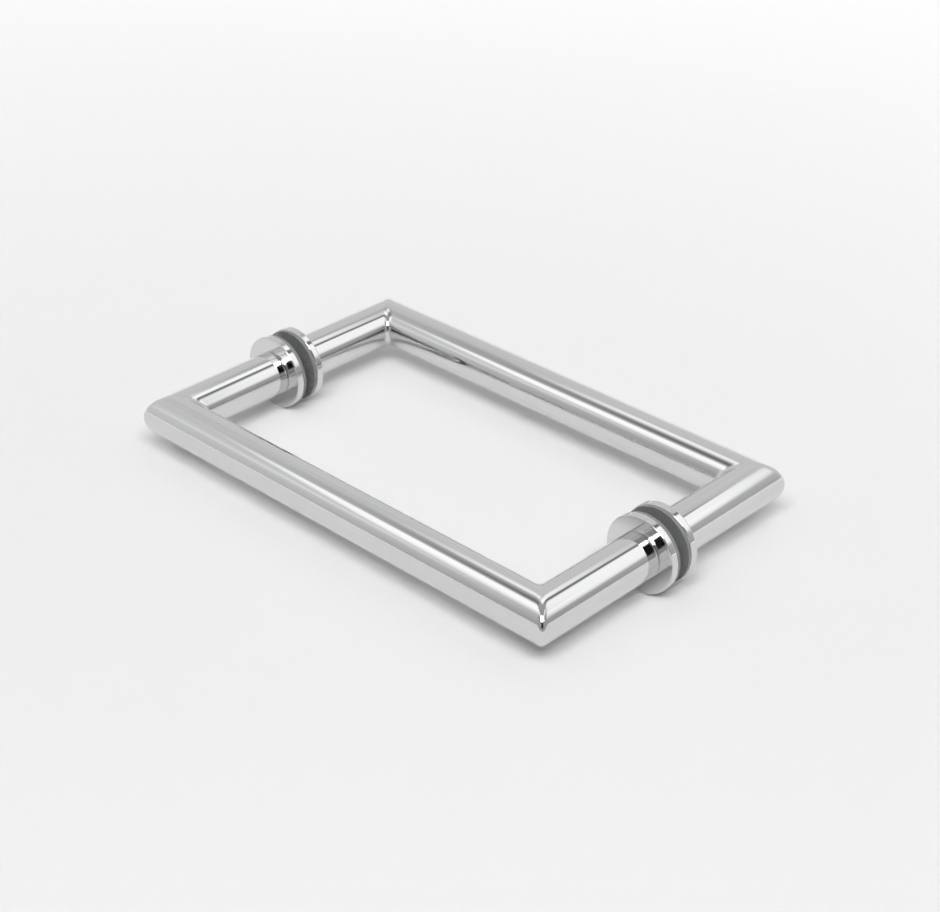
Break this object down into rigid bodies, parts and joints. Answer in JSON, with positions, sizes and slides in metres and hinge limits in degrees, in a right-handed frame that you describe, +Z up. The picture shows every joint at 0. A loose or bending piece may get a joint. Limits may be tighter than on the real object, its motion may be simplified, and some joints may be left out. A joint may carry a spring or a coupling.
{
  "type": "shower door handle",
  "caption": "Back-to-back shower door pull of mitred round tube, clamped through the glass by studs with polished washers, clear gaskets and set screws.",
  "frame": {"origin": "middle of the glass, halfway between the posts, at the height of the tube axes", "axes": "+X along the grips from the left post to the right post, +Y through the glass from the near pull to the far pull, +Z up as it lies on a table"},
  "size_m": [0.235, 0.1414, 0.0318],
  "materials": {
    "chrome": "polished chrome plate",
    "brass": "turned brass",
    "steel": "bright steel",
    "clear_vinyl": "clear, slightly milky"
  },
  "bodies": {
    "root": {"far_gasket_left": "clear_vinyl", "far_gasket_right": "clear_vinyl", "far_plug_left": "brass", "far_plug_right": "brass", "far_pull": "chrome", "far_washer_left": "chrome", "far_washer_right": "chrome", "glass_sleeve_left": "clear_vinyl", "glass_sleeve_right": "clear_vinyl", "mounting_post_left": "brass", "mounting_post_right": "brass", "near_gasket_left": "clear_vinyl", "near_gasket_right": "clear_vinyl", "near_pull": "chrome", "near_washer_left": "chrome", "near_washer_right": "chrome", "set_screw_left": "steel", "set_screw_right": "steel", "through_stud_left": "steel", "through_stud_right": "steel"}
  },
  "joints": []
}
